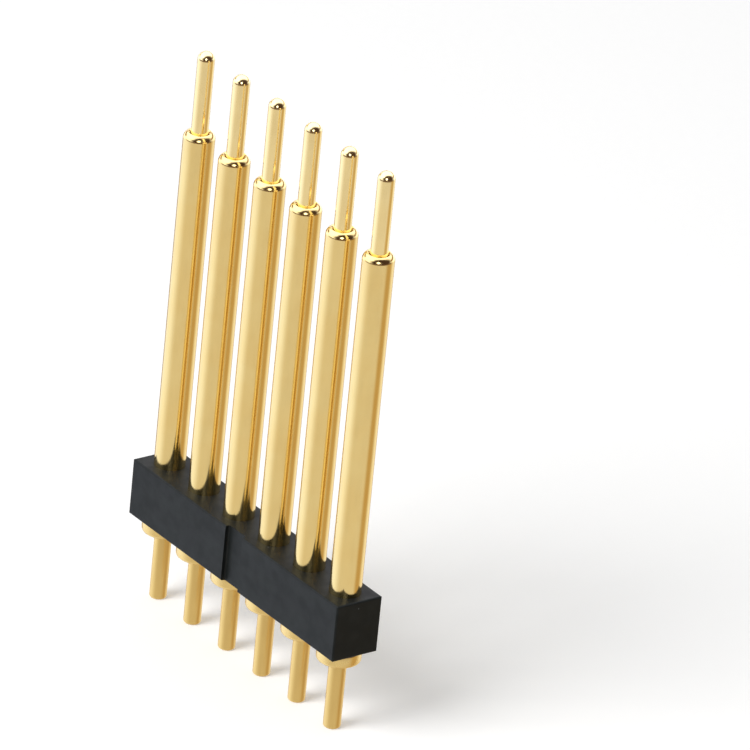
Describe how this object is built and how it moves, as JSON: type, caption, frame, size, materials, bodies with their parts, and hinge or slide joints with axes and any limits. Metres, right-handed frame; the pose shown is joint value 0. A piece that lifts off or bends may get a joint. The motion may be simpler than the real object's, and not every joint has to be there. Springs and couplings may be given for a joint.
{
  "type": "pogo pin connector",
  "caption": "Single-row spring-loaded pin connector: black moulded bar with gold barrels, sprung round-tipped plungers, flanges and straight solder tails.",
  "frame": {"origin": "centre of the row of contacts, on the plane of the flanges' undersides, where the board's upper face lies", "axes": "+Z towards the plungers' tips, +X along the row from contact 1 to contact 6, Y across the row"},
  "size_m": [0.0148, 0.0022, 0.0252],
  "materials": {
    "insulator": "black moulded thermoplastic, satin",
    "barrel": "gold plated, polished",
    "spring": "bright spring wire",
    "plunger": "gold plated, polished"
  },
  "bodies": {
    "housing": {"insulator": "insulator", "barrel_1": "barrel", "barrel_2": "barrel", "barrel_3": "barrel", "barrel_4": "barrel", "barrel_5": "barrel", "barrel_6": "barrel", "spring_1": "spring", "spring_2": "spring", "spring_3": "spring", "spring_4": "spring", "spring_5": "spring", "spring_6": "spring"},
    "plunger_1": {"plunger_1": "plunger"},
    "plunger_2": {"plunger_2": "plunger"},
    "plunger_3": {"plunger_3": "plunger"},
    "plunger_4": {"plunger_4": "plunger"},
    "plunger_5": {"plunger_5": "plunger"},
    "plunger_6": {"plunger_6": "plunger"}
  },
  "joints": [
    {"name": "plunger_1_press", "type": "slide", "parent": "housing", "child": "plunger_1", "axis": [0, 0, 1], "range_m": [-0.003, 0], "stiffness_N_per_m": 260, "springref_m": 0.0008, "deforming": ["spring_1"]},
    {"name": "plunger_2_press", "type": "slide", "parent": "housing", "child": "plunger_2", "axis": [0, 0, 1], "range_m": [-0.003, 0], "stiffness_N_per_m": 260, "springref_m": 0.0008, "deforming": ["spring_2"]},
    {"name": "plunger_3_press", "type": "slide", "parent": "housing", "child": "plunger_3", "axis": [0, 0, 1], "range_m": [-0.003, 0], "stiffness_N_per_m": 260, "springref_m": 0.0008, "deforming": ["spring_3"]},
    {"name": "plunger_4_press", "type": "slide", "parent": "housing", "child": "plunger_4", "axis": [0, 0, 1], "range_m": [-0.003, 0], "stiffness_N_per_m": 260, "springref_m": 0.0008, "deforming": ["spring_4"]},
    {"name": "plunger_5_press", "type": "slide", "parent": "housing", "child": "plunger_5", "axis": [0, 0, 1], "range_m": [-0.003, 0], "stiffness_N_per_m": 260, "springref_m": 0.0008, "deforming": ["spring_5"]},
    {"name": "plunger_6_press", "type": "slide", "parent": "housing", "child": "plunger_6", "axis": [0, 0, 1], "range_m": [-0.003, 0], "stiffness_N_per_m": 260, "springref_m": 0.0008, "deforming": ["spring_6"]}
  ]
}
